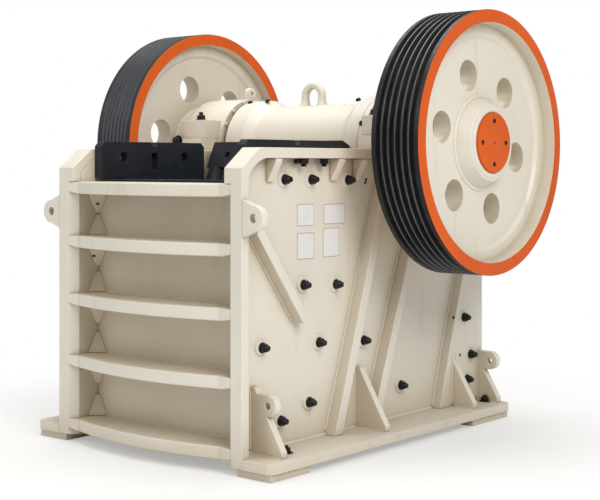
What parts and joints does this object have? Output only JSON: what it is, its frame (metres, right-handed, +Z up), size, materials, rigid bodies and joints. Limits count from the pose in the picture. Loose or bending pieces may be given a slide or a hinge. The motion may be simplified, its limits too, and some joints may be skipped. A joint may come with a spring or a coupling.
{
  "type": "jaw crusher",
  "caption": "Single-toggle jaw crusher: ribbed steel frame, fixed and swing jaws with corrugated plates, eccentric shaft, grooved drive wheel and flywheel.",
  "frame": {"origin": "centre of the bounding box at floor level, under the feet", "axes": "+X towards the drive wheel, +Y from the feed end to the back, +Z up"},
  "size_m": [2.18, 2.2168, 2.123],
  "materials": {
    "cream_paint": "semi-gloss cream machine paint",
    "wear_steel": "black-painted manganese steel castings",
    "wheel_paint": "cream web, orange rim faces and black tread",
    "orange_paint": "orange paint",
    "bright_steel": "turned steel",
    "black_steel": "black oxide"
  },
  "bodies": {
    "frame": {"side_wall_right": "cream_paint", "side_wall_left": "cream_paint", "wall_flange_right": "cream_paint", "wall_flange_left": "cream_paint", "side_ribs_right": "cream_paint", "side_ribs_left": "cream_paint", "base_rail_right": "cream_paint", "base_rail_left": "cream_paint", "rail_gussets_right": "cream_paint", "rail_gussets_left": "cream_paint", "bearing_base_right": "cream_paint", "bearing_base_left": "cream_paint", "bearing_cap_right": "cream_paint", "bearing_cap_left": "cream_paint", "flange_brackets": "cream_paint", "front_wall": "cream_paint", "front_ribs": "cream_paint", "front_corner_gussets": "cream_paint", "rear_wall": "cream_paint", "rear_ribs": "cream_paint", "foot_pads": "cream_paint", "upper_lugs": "cream_paint", "bearing_covers": "cream_paint", "main_bearings": "bright_steel", "fixed_jaw_plate": "wear_steel", "upper_cheek_plates": "wear_steel", "lower_cheek_plates": "wear_steel", "toggle_plate": "wear_steel", "toggle_block": "cream_paint", "tension_rods": "bright_steel", "spring_seats": "cream_paint", "tension_springs": "black_steel"},
    "rotor": {"eccentric_shaft": "bright_steel", "drive_wheel": "wheel_paint", "flywheel": "wheel_paint", "hub_caps": "orange_paint"},
    "swing_jaw": {"pitman": "cream_paint", "pitman_covers": "cream_paint", "lifting_eye": "cream_paint", "moving_jaw_plate": "wear_steel", "jaw_retainer": "wear_steel"}
  },
  "joints": [
    {"name": "shaft_spin", "type": "hinge", "parent": "frame", "child": "rotor", "pos_m": [0, 0.2605, 1.473], "axis": [1, 0, 0], "continuous": true},
    {"name": "pitman_orbit", "type": "hinge", "parent": "rotor", "child": "swing_jaw", "pos_m": [0, 0.2605, 1.461], "axis": [1, 0, 0], "continuous": true}
  ],
  "couplings": [
    {"joint": "pitman_orbit", "follows": "shaft_spin", "ratio": -1}
  ]
}
